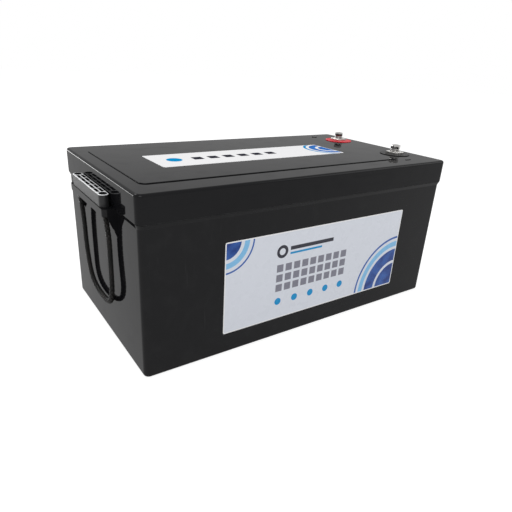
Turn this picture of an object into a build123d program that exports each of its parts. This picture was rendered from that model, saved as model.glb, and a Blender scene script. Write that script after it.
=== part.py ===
from build123d import *
import math
import os

# Deep cycle battery in an 8D size case, +Z up, X along the case, Y across it.
# The origin is the middle of the floor under the case; the labelled side faces -Y.

# Lid
lid_length = 495.0
lid_width = 269.0
lid_rim_height = 220.0
lid_skirt_height = 32.0
lid_skirt_thickness = 3.2
lid_top_thickness = 4.0
lid_corner_radius = 8.0
lid_edge_radius = 3.4
panel_length = 407.0
panel_width = 196.0
panel_offset_x = -25.0
panel_rise = 1.0
panel_corner_radius = 9.0
panel_edge_radius = 0.7
mark_length = 10.0
mark_thickness = 2.2
mark_rise = 0.6
mark_inboard = 20.0
mark_outboard = 43.0

# Tub
tub_inset = 2.2
tub_wall = 4.3
tub_floor = 5.0
tub_corner_radius = 7.0
tub_foot_radius = 3.5
rim_inset = 0.3
rim_height = 5.0
neck_clearance = 0.3
neck_height = 20.0
seal_thickness = 0.8
seal_outer_inset = 0.7

# Handle shelf on each end of the tub
shelf_reach = 13.5
shelf_length = 133.0
shelf_thickness = 8.6
shelf_corner_radius = 5.0
gusset_drop = 26.0
gusset_thickness = 5.0
rope_hole_clearance = 2.5
rope_hole_end_clearance = 1.5

# Grip and rope
grip_length = 115.0
grip_width = 11.8
grip_height = 14.2
grip_gap = 0.85
grip_edge_radius = 1.0
grip_wall = 1.5
grip_floor = 5.0
grip_end_wall = 1.5
grip_end_pocket_length = 12.0
grip_pocket_rows = 2
grip_pocket_columns = 5
grip_pocket_rib = 1.5
grip_pocket_depth = 7.0
rope_diameter = 7.0
rope_grip_clearance = 0.3
rope_lean = 2.95
knot_clearance = 0.3
knot_height = 6.6
knot_waist_height = 2.6
rope_end_gap = 0.2

# Labels
label_thickness = 0.3
label_corner_radius = 2.5
front_label_length = 310.0
front_label_height = 123.0
front_label_offset_x = 12.0
front_label_foot = 28.5
lid_label_length = 301.0
lid_label_width = 72.0
lid_label_offset_x = -24.0

# Terminals
terminal_x = 210.0
terminal_spacing = 130.0
disc_diameter = 46.0
disc_thickness = 0.8
block_side = 20.0
block_thickness = 3.2
block_chamfer = 0.7
post_diameter = 14.0
post_length = 20.8
post_hole_clearance = 0.3
seal_washer_diameter = 24.0
seal_washer_thickness = 1.5
post_nut_size = 22.0
post_nut_thickness = 5.0
bolt_diameter = 8.0
bolt_length = 16.0
bolt_head_size = 13.0
bolt_head_height = 6.5
bolt_head_dome = 1.2
bolt_running_clearance = 0.05
bolt_hole_depth = 14.0
flat_washer_diameter = 15.4
flat_washer_thickness = 2.0
spring_washer_diameter = 12.8
spring_washer_thickness = 2.6
spring_washer_slot = 1.2
washer_clearance = 0.2
lug_screw_diameter = 6.0
lug_screw_length = 9.0
lug_screw_hole_spare = 1.5
lug_screw_head_size = 10.0
lug_screw_head_height = 4.0

# Cells
floor_pad_thickness = 3.0
cell_count = 8
cell_thickness = 48.0
cell_width = 174.0
cell_height = 170.0
cell_edge_radius = 2.5
cell_post_spacing = 118.0
cell_post_diameter = 14.0
cell_post_height = 4.0
cell_stud_diameter = 6.0
cell_stud_height = 12.0
cell_vent_length = 24.0
cell_vent_width = 14.0
cell_vent_rise = 0.5
sheet_thickness = 1.0
sheet_inset = 4.0
end_plate_thickness = 6.0
end_plate_inset = 5.0
band_width = 16.0
band_thickness = 1.2
band_heights = (70.0, 140.0)
stack_start_x = -233.0
side_foam_length = 320.0
side_foam_height = 140.0
end_foam_width = 120.0
end_foam_height = 92.0

# Bars that join the cells
bar_width = 20.0
bar_thickness = 2.5
bar_overhang = 11.0
bar_hole_clearance = 0.3
cell_nut_size = 10.0
cell_nut_height = 5.0
riser_gap = 9.0

# Management board
standoff_length = 12.0
standoff_size = 8.0
board_width = 150.0
board_height = 136.0
board_foot = 22.0
board_thickness = 1.6
screw_inset_y = 10.0
screw_low = 30.0
screw_high = 114.0
board_screw_diameter = 4.0
board_screw_head_diameter = 7.0
board_screw_head_height = 3.0
board_screw_clearance = 0.1
board_screw_tip_gap = 1.0
board_tab_hole_clearance = 2.0
transistor_count = 6
transistor_width = 10.0
transistor_length = 15.0
transistor_thickness = 4.4
transistor_pitch = 18.0
transistor_heights = (60.0, 92.0)
sink_height = 100.0
sink_plate = 3.0
sink_fins = 9
sink_fin_depth = 13.0
sink_fin_thickness = 2.5
sink_fin_margin = 3.0
tab_width = 20.0
tab_height = 38.0
tab_thickness = 2.0
tab_rise = 14.0
pack_tab_y = 24.0
plug_width = 18.0
plug_height = 9.0
plug_depth = 8.0
plug_y = 48.0
plug_drop = 2.0
radio_length = 30.0
radio_width = 50.0
radio_height = 12.0
radio_gap = 2.0
radio_corner_radius = 2.0

# Leads
cable_diameter = 10.0
lug_eye_diameter = 16.0
lug_thickness = 3.0
lug_barrel_diameter = 13.0
lug_barrel_length = 18.0
lug_neck = 4.0
lug_neck_width = 11.2
harness_diameter = 5.0

# How far a cutting shape runs past the face that it cuts
cut_over = 1.0

# Values worked out from the sizes above
half_lid_x = lid_length / 2
half_lid_y = lid_width / 2
skirt_foot = lid_rim_height - lid_skirt_height
lid_inner_x = half_lid_x - lid_skirt_thickness
lid_inner_y = half_lid_y - lid_skirt_thickness
lid_underside = lid_rim_height - lid_top_thickness
half_tub_x = half_lid_x - tub_inset
half_tub_y = half_lid_y - tub_inset
room_x = half_tub_x - tub_wall
room_y = half_tub_y - tub_wall
room_corner_radius = tub_corner_radius - tub_wall
rim_top = skirt_foot - seal_thickness
neck_x = lid_inner_x - neck_clearance
neck_y = lid_inner_y - neck_clearance
panel_top = lid_rim_height + panel_rise
shelf_outer = half_lid_x + shelf_reach
grip_inner = half_lid_x + grip_gap
rope_spacing = grip_length - grip_end_pocket_length - 2 * grip_end_wall
rope_x = grip_inner + grip_width / 2
rope_hole_width = rope_diameter + 2 * rope_hole_clearance
rope_hole_length = rope_diameter + rope_lean + 2 * rope_hole_end_clearance
rope_hole_x = rope_x - rope_lean / 2
grip_hole_diameter = rope_diameter + 2 * rope_grip_clearance
knot_width = grip_width - 2 * grip_wall - 2 * knot_clearance
knot_length = grip_end_pocket_length - 2 * knot_clearance
rope_top = rim_top + grip_floor
terminal_y = terminal_spacing / 2
load_tab_y = -terminal_y
block_foot = lid_rim_height + disc_thickness
block_top = block_foot + block_thickness
post_foot = block_foot - post_length
lug_screw_seat = post_foot - bar_thickness
washer_top = block_top + flat_washer_thickness
bolt_seat = washer_top + spring_washer_thickness
cell_foot = tub_floor + floor_pad_thickness
cell_top = cell_foot + cell_height
post_top = cell_top + cell_post_height
bar_top = post_top + bar_thickness
cell_pitch = cell_thickness + sheet_thickness
cells_start_x = stack_start_x + end_plate_thickness
cells_end_x = cells_start_x + cell_count * cell_pitch - sheet_thickness
stack_end_x = cells_end_x + end_plate_thickness
cell_post_y = cell_post_spacing / 2
board_x = stack_end_x + standoff_length
board_face_x = board_x + board_thickness
sink_x = board_face_x + transistor_thickness
sink_face_x = sink_x + sink_plate
sink_fin_x = sink_face_x + sink_fin_depth
screw_y = board_width / 2 - screw_inset_y
board_top = board_foot + board_height
tab_face_x = board_face_x + tab_thickness
tab_hole_z = board_top + tab_rise - tab_width / 2


def block(x0, x1, y0, y1, z0, z1):
    """Square-cornered block between two opposite corners."""
    centre = ((x0 + x1) / 2, (y0 + y1) / 2, (z0 + z1) / 2)
    return Pos(*centre) * Box(x1 - x0, y1 - y0, z1 - z0)


def round_block(half_x, half_y, z0, z1, radius, x=0.0, y=0.0):
    """Upright block with rounded vertical corners."""
    plan = Plane.XY.offset(z0) * Pos(x, y) * RectangleRounded(2 * half_x, 2 * half_y, radius)
    return extrude(plan, amount=z1 - z0)


def slot_block(width, length, z0, z1, x, y=0.0):
    """Upright block with round ends, long across Y."""
    plan = Plane.XY.offset(z0) * Pos(x, y) * SlotOverall(length, width, rotation=90)
    return extrude(plan, amount=z1 - z0)


def post(x, y, z0, z1, diameter):
    """Upright cylinder."""
    return Pos(x, y, (z0 + z1) / 2) * Cylinder(diameter / 2, z1 - z0)


def level_pin(x0, x1, y, z, diameter):
    """Cylinder lying along X."""
    return Pos((x0 + x1) / 2, y, z) * Rot(0, 90, 0) * Cylinder(diameter / 2, x1 - x0)


def hexagon(size, height):
    """Six-sided prism standing on the XY plane, size across flats."""
    return extrude(RegularPolygon(size / 2, 6, major_radius=False), amount=height)


def ring(x, y, z0, z1, outer, inner):
    """Flat washer."""
    return post(x, y, z0, z1, outer) - post(x, y, z0 - cut_over, z1 + cut_over, inner)


def save(shape, node):
    """Write one piece, or one set of like pieces, as its own STEP file."""
    export_step(shape, os.path.join("parts", node + ".step"))


def cell_x(index):
    """Middle of a cell along the stack, counted from the -X end."""
    return cells_start_x + cell_thickness / 2 + index * cell_pitch


# Case tub -----------------------------------------------------------------------

def handle_shelf():
    """Shelf with two end gussets, on the -X end of the tub."""
    wall_x = -half_tub_x
    half = shelf_length / 2
    foot = rim_top - shelf_thickness
    shelf = block(-shelf_outer, wall_x, -half, half, foot, rim_top)
    outer_corners = shelf.edges().filter_by(Axis.Z).sort_by(Axis.X)[:2]
    shelf = fillet(outer_corners, shelf_corner_radius)
    side = Polyline((wall_x, foot), (-shelf_outer + shelf_corner_radius, foot),
                    (wall_x, foot - gusset_drop), close=True)
    profile = Plane.XZ * make_face(side)
    for end in (-1, 1):
        gusset = extrude(profile, amount=gusset_thickness / 2, both=True)
        shelf += Pos(0, end * (half - gusset_thickness / 2), 0) * gusset
    for end in (-1, 1):
        plan = Plane.XY.offset(foot - cut_over) * Pos(-rope_hole_x, end * rope_spacing / 2)
        plan *= SlotOverall(rope_hole_length, rope_hole_width)
        shelf -= extrude(plan, amount=shelf_thickness + 2 * cut_over)
    return shelf


def case_tub():
    """Tub with its flared rim, the neck that the lid fits over, and both shelves."""
    walls = round_block(half_tub_x, half_tub_y, 0, rim_top, tub_corner_radius)
    walls = fillet(walls.faces().sort_by(Axis.Z)[0].edges(), tub_foot_radius)
    rim_low = Plane.XY.offset(rim_top - rim_height) * RectangleRounded(
        2 * half_tub_x, 2 * half_tub_y, tub_corner_radius)
    rim_high = Plane.XY.offset(rim_top) * RectangleRounded(
        2 * (half_lid_x - rim_inset), 2 * (half_lid_y - rim_inset), lid_corner_radius)
    tub = walls + loft([rim_low.face(), rim_high.face()])
    tub += round_block(neck_x, neck_y, rim_top, skirt_foot + neck_height, tub_corner_radius)
    shelf = handle_shelf()
    tub += shelf
    tub += shelf.mirror(Plane.YZ)
    room = round_block(room_x, room_y, tub_floor, lid_rim_height, room_corner_radius)
    return tub - room


def lid_seal():
    """Flat gasket between the rim of the tub and the foot of the lid skirt."""
    outer = round_block(half_lid_x - seal_outer_inset, half_lid_y - seal_outer_inset,
                        rim_top, skirt_foot, lid_corner_radius)
    inner = round_block(lid_inner_x, lid_inner_y, rim_top - cut_over, skirt_foot + cut_over,
                        tub_corner_radius)
    return outer - inner


# Lid ----------------------------------------------------------------------------

def polarity_mark(x, y, plus):
    """Raised minus or plus sign beside a terminal."""
    z1 = lid_rim_height + mark_rise
    mark = block(x - mark_length / 2, x + mark_length / 2, y - mark_thickness / 2,
                 y + mark_thickness / 2, lid_rim_height - cut_over, z1)
    if plus:
        mark += block(x - mark_thickness / 2, x + mark_thickness / 2, y - mark_length / 2,
                      y + mark_length / 2, lid_rim_height - cut_over, z1)
    return mark


def lid():
    """Skirted lid with a raised panel, two terminal holes and polarity marks."""
    shell = round_block(half_lid_x, half_lid_y, skirt_foot, lid_rim_height, lid_corner_radius)
    shell = fillet(shell.faces().sort_by(Axis.Z)[-1].edges(), lid_edge_radius)
    inside = round_block(lid_inner_x, lid_inner_y, skirt_foot - cut_over, lid_underside, tub_corner_radius)
    panel = round_block(panel_length / 2, panel_width / 2, lid_underside, panel_top,
                        panel_corner_radius, panel_offset_x)
    panel = fillet(panel.faces().sort_by(Axis.Z)[-1].edges(), panel_edge_radius)
    body = shell - inside + panel
    for side in (-1, 1):
        y = side * terminal_y
        body -= post(terminal_x, y, lid_underside - cut_over, lid_rim_height + cut_over,
                     post_diameter + 2 * post_hole_clearance)
        body += polarity_mark(terminal_x - mark_inboard, side * (terminal_y + mark_outboard),
                              side > 0)
    return body


# Labels -------------------------------------------------------------------------

def front_label():
    """Printed sheet on the -Y wall."""
    middle = front_label_foot + front_label_height / 2
    sheet = Plane.XZ * Pos(front_label_offset_x, middle) * RectangleRounded(
        front_label_length, front_label_height, label_corner_radius)
    return Pos(0, -half_tub_y, 0) * extrude(sheet, amount=label_thickness)


def lid_label():
    """Printed sheet on the raised panel."""
    return round_block(lid_label_length / 2, lid_label_width / 2, panel_top,
                       panel_top + label_thickness, label_corner_radius, lid_label_offset_x)


# Rope handle on the -X end ------------------------------------------------------

def grip():
    """Moulded grip: round-ended bar with knot pockets and two rows of small pockets."""
    foot = rim_top
    top = rim_top + grip_height
    bar = slot_block(grip_width, grip_length, foot, top, -rope_x)
    bar = fillet(bar.faces().sort_by(Axis.Z)[-1].edges(), grip_edge_radius)
    inner_width = grip_width - 2 * grip_wall
    for end in (-1, 1):
        y = end * rope_spacing / 2
        bar -= slot_block(inner_width, grip_end_pocket_length, foot + grip_floor,
                          top + cut_over, -rope_x, y)
        bar -= post(-rope_x, y, foot - cut_over, top, grip_hole_diameter)
    span = rope_spacing - grip_end_pocket_length - 2 * grip_pocket_rib
    pitch_y = (span + grip_pocket_rib) / grip_pocket_columns
    pitch_x = (inner_width + grip_pocket_rib) / grip_pocket_rows
    pocket_y = pitch_y - grip_pocket_rib
    pocket_x = pitch_x - grip_pocket_rib
    for column in range(grip_pocket_columns):
        y = (column - (grip_pocket_columns - 1) / 2) * pitch_y
        for row in range(grip_pocket_rows):
            x = -rope_x + (row - (grip_pocket_rows - 1) / 2) * pitch_x
            bar -= block(x - pocket_x / 2, x + pocket_x / 2, y - pocket_y / 2, y + pocket_y / 2,
                         top - grip_pocket_depth, top + cut_over)
    return bar


def knots():
    """The two stopper knots that sit in the end pockets of the grip."""
    pair = []
    for end in (-1, 1):
        ball = Sphere(1.0)
        ball = scale(ball, by=(knot_width / 2, knot_length / 2, knot_height - knot_waist_height))
        ball = Pos(-rope_x, end * rope_spacing / 2, rope_top + knot_waist_height) * ball
        pair.append(split(ball, bisect_by=Plane.XY.offset(rope_top), keep=Keep.TOP).solid())
    return Compound(children=pair)


def corner_radii(points):
    """Largest tangent arc for each corner: 0.45 of the shorter run."""
    radii = []
    for before, corner, after in zip(points, points[1:], points[2:]):
        first = Vector(*corner) - Vector(*before)
        second = Vector(*after) - Vector(*corner)
        half_turn = math.radians(first.get_angle(second)) / 2
        radii.append(0.45 * min(first.length, second.length) / math.tan(half_turn))
    return radii


def tube(points, diameter, name):
    """Cord as straight runs joined by tangent arcs."""
    radii = corner_radii(points)
    path = FilletPolyline(*points, radius=radii)
    start = Plane(origin=path @ 0, z_dir=path % 0)
    solid = sweep(start * Circle(diameter / 2), path=path)
    section = math.pi * diameter ** 2 / 4
    print(name, "radii", [round(r, 1) for r in radii], "length", round(path.length, 1),
          "volume ratio", round(solid.volume / (section * path.length), 4))
    return solid


def rope_route():
    """Points of the rope, from one knot through the shelf and along the wall to the other knot."""
    half = rope_spacing / 2
    leg_x = -rope_x + rope_lean
    return [(-rope_x, half, rope_top - rope_end_gap),
            (leg_x - 2.4, half + 0.3, rope_top - 17.2),
            (leg_x - 0.1, half + 1.7, rope_top - 50.2),
            (leg_x, half + 2.0, rope_top - 88.2),
            (leg_x + 1.7, half - 5.5, rope_top - 139.2),
            (leg_x + 1.2, -17.0, rope_top - 142.7),
            (leg_x - 1.7, -half - 4.0, rope_top - 125.7),
            (leg_x - 0.2, -half - 1.0, rope_top - 70.7),
            (leg_x - 0.2, -half - 1.6, rope_top - 44.2),
            (leg_x - 2.4, -half - 0.3, rope_top - 16.2),
            (-rope_x, -half, rope_top - rope_end_gap)]


def rope():
    """Rope that hangs in an uneven U against the wall."""
    return tube(rope_route(), rope_diameter, "rope")


# Terminals ----------------------------------------------------------------------

def terminal(side):
    """Square contact block with its threaded post through the lid."""
    y = side * terminal_y
    half = block_side / 2
    head = block(terminal_x - half, terminal_x + half, y - half, y + half, block_foot, block_top)
    head = chamfer(head.faces().sort_by(Axis.Z)[-1].edges(), block_chamfer)
    whole = head + post(terminal_x, y, post_foot, block_foot, post_diameter)
    whole -= post(terminal_x, y, block_top - bolt_hole_depth, block_top + cut_over,
                  bolt_diameter + 2 * bolt_running_clearance)
    whole -= post(terminal_x, y, post_foot - cut_over,
                  lug_screw_seat + lug_screw_length + lug_screw_hole_spare, lug_screw_diameter)
    return whole


def polarity_disc(side):
    """Thin coloured disc under a contact block."""
    return ring(terminal_x, side * terminal_y, lid_rim_height, block_foot, disc_diameter,
                post_diameter + 2 * post_hole_clearance)


def flat_washer(side):
    """Plain washer on the contact block."""
    return ring(terminal_x, side * terminal_y, block_top, washer_top, flat_washer_diameter,
                bolt_diameter + 2 * washer_clearance)


def spring_washer(side):
    """Split lock washer under the bolt head."""
    y = side * terminal_y
    whole = ring(terminal_x, y, washer_top, bolt_seat, spring_washer_diameter,
                 bolt_diameter + 2 * washer_clearance)
    slot = block(terminal_x, terminal_x + spring_washer_diameter, y - spring_washer_slot / 2,
                 y + spring_washer_slot / 2, washer_top - cut_over, bolt_seat + cut_over)
    return whole - slot


def terminal_bolt(side):
    """Hexagon head bolt with a domed head."""
    y = side * terminal_y
    top = bolt_seat + bolt_head_height
    head = Pos(terminal_x, y, bolt_seat) * hexagon(bolt_head_size, bolt_head_height)
    crown = post(terminal_x, y, bolt_seat, top, bolt_head_size * 2 / math.sqrt(3))
    crown = fillet(crown.edges().sort_by(Axis.Z)[-1], bolt_head_dome)
    shank = post(terminal_x, y, bolt_seat - bolt_length, bolt_seat, bolt_diameter)
    return (head & crown) + shank


def terminal_seals():
    """Rubber washers between the lid and the inner nuts."""
    return Compound(children=[
        ring(terminal_x, side * terminal_y, lid_underside - seal_washer_thickness, lid_underside,
             seal_washer_diameter, post_diameter) for side in (-1, 1)])


def terminal_nuts():
    """Nuts that clamp the posts to the lid."""
    top = lid_underside - seal_washer_thickness
    nuts = []
    for side in (-1, 1):
        nut = Pos(terminal_x, side * terminal_y, top - post_nut_thickness) * hexagon(
            post_nut_size, post_nut_thickness)
        hole = post(terminal_x, side * terminal_y, top - post_nut_thickness - cut_over, top + cut_over,
                    post_diameter)
        nuts.append(nut - hole)
    return Compound(children=nuts)


def lug_screws():
    """Screws that hold the bars to the feet of the posts."""
    screws = []
    for side in (-1, 1):
        y = side * terminal_y
        head = Pos(terminal_x, y, lug_screw_seat - lug_screw_head_height) * hexagon(
            lug_screw_head_size, lug_screw_head_height)
        screws.append(head + post(terminal_x, y, lug_screw_seat, lug_screw_seat + lug_screw_length,
                                  lug_screw_diameter))
    return Compound(children=screws)


# Cell stack ---------------------------------------------------------------------

def floor_pad():
    """Foam sheet between the floor and the cells."""
    return round_block(room_x, room_y, tub_floor, cell_foot, room_corner_radius)


def cell(index):
    """Prismatic cell with two posts, welded studs and a vent."""
    x = cell_x(index)
    can = block(x - cell_thickness / 2, x + cell_thickness / 2, -cell_width / 2, cell_width / 2,
                cell_foot, cell_top)
    can = fillet(can.edges().filter_by(Axis.Z), cell_edge_radius)
    can += Pos(x, 0, cell_top + cell_vent_rise / 2) * Box(cell_vent_width, cell_vent_length,
                                                         cell_vent_rise)
    for side in (-1, 1):
        y = side * cell_post_y
        can += post(x, y, cell_top, post_top, cell_post_diameter)
        can += post(x, y, post_top, post_top + cell_stud_height, cell_stud_diameter)
    return can


def cell_sheets():
    """Insulating sheets between neighbouring cells."""
    half = cell_width / 2 - sheet_inset
    sheets = []
    for index in range(cell_count - 1):
        x0 = cell_x(index) + cell_thickness / 2
        sheets.append(block(x0, x0 + sheet_thickness, -half, half, cell_foot,
                            cell_top - sheet_inset))
    return Compound(children=sheets)


def end_plate(x0, drilled):
    """Stiff plate at one end of the stack."""
    x1 = x0 + end_plate_thickness
    plate = block(x0, x1, -cell_width / 2, cell_width / 2, cell_foot, cell_top - end_plate_inset)
    if drilled:
        for y in (-screw_y, screw_y):
            for z in (screw_low, screw_high):
                plate -= level_pin(x0 - cut_over, x1 + cut_over, y, z, board_screw_diameter)
    return plate


def band(height):
    """Tensioned band round the stack and its end plates."""
    z0 = height - band_width / 2
    z1 = height + band_width / 2
    half_y = cell_width / 2
    outer = block(stack_start_x - band_thickness, stack_end_x + band_thickness,
                  -half_y - band_thickness, half_y + band_thickness, z0, z1)
    return outer - block(stack_start_x, stack_end_x, -half_y, half_y, z0 - cut_over, z1 + cut_over)


def side_foam():
    """Foam blocks between the stack and the long walls."""
    middle = (stack_start_x + stack_end_x) / 2
    inner = cell_width / 2 + band_thickness
    blocks = []
    for side in (-1, 1):
        y0, y1 = sorted((side * inner, side * room_y))
        blocks.append(block(middle - side_foam_length / 2, middle + side_foam_length / 2, y0, y1,
                            cell_foot, cell_foot + side_foam_height))
    return Compound(children=blocks)


def end_foam():
    """Foam blocks at both ends of the stack."""
    half = end_foam_width / 2
    top = cell_foot + end_foam_height
    low = block(-room_x, stack_start_x - band_thickness, -half, half, cell_foot, top)
    high = block(sink_fin_x, room_x, -half, half, cell_foot, top)
    return Compound(children=[low, high])


# Bars and nuts ------------------------------------------------------------------

def bar(first, last, side):
    """Flat bar over the posts of neighbouring cells, with a hole for each stud."""
    y = side * cell_post_y
    strip = block(cell_x(first) - bar_overhang, cell_x(last) + bar_overhang, y - bar_width / 2,
                  y + bar_width / 2, post_top, bar_top)
    for index in range(first, last + 1):
        strip -= post(cell_x(index), y, post_top - cut_over, bar_top + cut_over,
                      cell_stud_diameter + 2 * bar_hole_clearance)
    return strip


def series_bars():
    """Bars that join each pair of cells to the next pair."""
    return Compound(children=[bar(0, 3, -1), bar(2, 5, 1), bar(4, 7, -1)])


def positive_bar():
    """Bar from the last pair of cells, stepped up to the foot of the positive post."""
    y = cell_post_y
    riser_x = stack_end_x + riser_gap
    strip = bar(6, 7, 1)
    strip += block(cell_x(7) + bar_overhang, riser_x, y - bar_width / 2, y + bar_width / 2,
                   post_top, bar_top)
    low = terminal_y - bar_width / 2
    strip += block(riser_x - bar_thickness, riser_x, low, y + bar_width / 2, post_top, post_foot)
    strip += block(riser_x - bar_thickness, terminal_x + bar_width / 2, low,
                   terminal_y + bar_width / 2, post_foot - bar_thickness, post_foot)
    return strip - post(terminal_x, terminal_y, lug_screw_seat - cut_over, post_foot + cut_over,
                        lug_screw_diameter + 2 * bar_hole_clearance)


def cell_nuts():
    """Nut on each cell stud; the first negative nut sits on a cable lug."""
    nuts = []
    for index in range(cell_count):
        for side in (-1, 1):
            lift = lug_thickness if (index, side) == (0, 1) else 0.0
            foot = bar_top + lift
            nut = Pos(cell_x(index), side * cell_post_y, foot) * hexagon(
                cell_nut_size, cell_nut_height)
            hole = post(cell_x(index), side * cell_post_y, foot - cut_over,
                        foot + cell_nut_height + cut_over,
                        cell_stud_diameter)
            nuts.append(nut - hole)
    return Compound(children=nuts)


# Management board ---------------------------------------------------------------

def board():
    """Circuit board on the end of the stack."""
    sheet = block(board_x, board_face_x, -board_width / 2, board_width / 2, board_foot, board_top)
    for y in (-screw_y, screw_y):
        for z in (screw_low, screw_high):
            sheet -= level_pin(board_x - cut_over, board_face_x + cut_over, y, z,
                               board_screw_diameter + 2 * board_screw_clearance)
    for y in (pack_tab_y, load_tab_y):
        sheet -= level_pin(board_x - cut_over, board_face_x + cut_over, y, tab_hole_z,
                           lug_screw_head_size + 2 * board_tab_hole_clearance)
    return sheet


def standoffs():
    """Hexagon pillars behind the board and short spacers under the heat sink."""
    pillars = []
    for x0, x1 in ((stack_end_x, board_x), (board_face_x, sink_x)):
        for y in (-screw_y, screw_y):
            for z in (screw_low, screw_high):
                pillar = Pos(x0, y, z) * Rot(0, 90, 0) * hexagon(standoff_size, x1 - x0)
                hole = level_pin(x0 - cut_over, x1 + cut_over, y, z,
                                 board_screw_diameter + 2 * board_screw_clearance)
                pillars.append(pillar - hole)
    return Compound(children=pillars)


def transistors():
    """Two rows of power transistors between the board and the heat sink."""
    bodies = []
    for z in transistor_heights:
        for index in range(transistor_count):
            y = (index - (transistor_count - 1) / 2) * transistor_pitch
            bodies.append(block(board_face_x, sink_x, y - transistor_width / 2,
                                y + transistor_width / 2, z - transistor_length / 2,
                                z + transistor_length / 2))
    return Compound(children=bodies)


def heat_sink():
    """Finned aluminium plate over the transistors."""
    z1 = board_foot + sink_height
    sink = block(sink_x, sink_face_x, -board_width / 2, board_width / 2, board_foot, z1)
    pitch = (2 * screw_y - board_screw_head_diameter - 2 * sink_fin_margin) / sink_fins
    for index in range(sink_fins):
        y = (index - (sink_fins - 1) / 2) * pitch
        sink += block(sink_face_x, sink_fin_x, y - sink_fin_thickness / 2,
                      y + sink_fin_thickness / 2, board_foot, z1)
    for y in (-screw_y, screw_y):
        for z in (screw_low, screw_high):
            sink -= level_pin(sink_x - cut_over, sink_face_x + cut_over, y, z,
                              board_screw_diameter + 2 * board_screw_clearance)
    return sink


def board_screws():
    """Screws through the heat sink, the board and the pillars into the end plate."""
    screws = []
    for y in (-screw_y, screw_y):
        for z in (screw_low, screw_high):
            head = level_pin(sink_face_x, sink_face_x + board_screw_head_height, y, z,
                             board_screw_head_diameter)
            screws.append(head + level_pin(cells_end_x + board_screw_tip_gap, sink_face_x, y,
                                           z, board_screw_diameter))
    return Compound(children=screws)


def board_tabs():
    """Copper tabs for the cable lug and the load bar."""
    tabs = []
    for y in (pack_tab_y, load_tab_y):
        z1 = board_top + tab_rise
        tab = block(board_face_x, tab_face_x, y - tab_width / 2, y + tab_width / 2,
                    z1 - tab_height, z1)
        tabs.append(tab - level_pin(board_face_x - cut_over, tab_face_x + cut_over, y, tab_hole_z,
                                    lug_screw_diameter + 2 * bar_hole_clearance))
    return Compound(children=tabs)


def tab_bolts():
    """Bolts and nuts that hold the cable lug and the load bar to the tabs."""
    bolts = []
    for y, held in ((pack_tab_y, lug_thickness), (load_tab_y, bar_thickness)):
        seat = tab_face_x + held
        head = Pos(seat, y, tab_hole_z) * Rot(0, 90, 0) * hexagon(
            lug_screw_head_size, lug_screw_head_height)
        nut = Pos(board_face_x - cell_nut_height, y, tab_hole_z) * Rot(0, 90, 0) * hexagon(
            cell_nut_size, cell_nut_height)
        shank = level_pin(board_face_x - cell_nut_height, seat, y, tab_hole_z,
                          lug_screw_diameter)
        bolts.append(head + nut + shank)
    return Compound(children=bolts)


def sense_plug():
    """Plug of the sense harness on the board."""
    z1 = board_top - plug_drop
    return block(board_face_x, board_face_x + plug_depth, plug_y - plug_width / 2,
                 plug_y + plug_width / 2, z1 - plug_height, z1)


def radio_module():
    """Bluetooth module in its own small case on the foam."""
    z0 = cell_foot + end_foam_height
    x0 = sink_fin_x + radio_gap
    case = block(x0, x0 + radio_length, -radio_width / 2, radio_width / 2, z0, z0 + radio_height)
    return fillet(case.edges().filter_by(Axis.Z), radio_corner_radius)


# Leads --------------------------------------------------------------------------

def lug(eye, direction, up):
    """Crimp lug: flat eye and a barrel, both along direction; up is the eye's normal."""
    frame = Plane(origin=eye, x_dir=direction, z_dir=up)
    flat = Cylinder(lug_eye_diameter / 2, lug_thickness)
    reach = lug_eye_diameter / 2 + lug_neck
    flat += Pos(reach / 2, 0, 0) * Box(reach, lug_neck_width, lug_thickness)
    barrel = Pos(reach + lug_barrel_length / 2, 0, lug_barrel_diameter / 2 - lug_thickness / 2)
    flat += barrel * Rot(0, 90, 0) * Cylinder(lug_barrel_diameter / 2, lug_barrel_length)
    flat -= Cylinder(lug_screw_diameter / 2 + bar_hole_clearance, 2 * lug_thickness)
    return frame * flat


def lug_mouth(eye, direction, up):
    """Point in the middle of the barrel's open face."""
    reach = lug_eye_diameter / 2 + lug_neck + lug_barrel_length
    lift = lug_barrel_diameter / 2 - lug_thickness / 2
    return Vector(*eye) + Vector(*direction) * reach + Vector(*up) * lift


def lug_places():
    """Eye centre, direction and normal of each of the two lugs."""
    cell_lug = ((cell_x(0), cell_post_y, bar_top + lug_thickness / 2), (0, -1, 0), (0, 0, 1))
    pack_lug = ((tab_face_x + lug_thickness / 2, pack_tab_y, tab_hole_z), (0, -1, 0), (1, 0, 0))
    return cell_lug, pack_lug


def cable_lugs():
    """The two crimp lugs."""
    return Compound(children=[lug(*place) for place in lug_places()])


def pack_cable_route():
    """Points of the negative cable, from the first pair of cells to the board."""
    cell_lug, pack_lug = lug_places()
    start = lug_mouth(*cell_lug)
    end = lug_mouth(*pack_lug)
    z = start.Z
    return [tuple(start),
            (start.X, start.Y - 35, z + 0.5),
            (start.X + 28, start.Y - 57, z + 2),
            (start.X + 93, start.Y - 52, z + 4),
            (-20, -14, z + 6),
            (70, -24, z + 5),
            (end.X - 64, -44, z + 2),
            (end.X - 26, -53, z - 5),
            (end.X - 4, end.Y - 32, end.Z + 5),
            tuple(end)]


def pack_cable():
    """Negative cable, from the first pair of cells to the board."""
    return tube(pack_cable_route(), cable_diameter, "pack cable")


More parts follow.
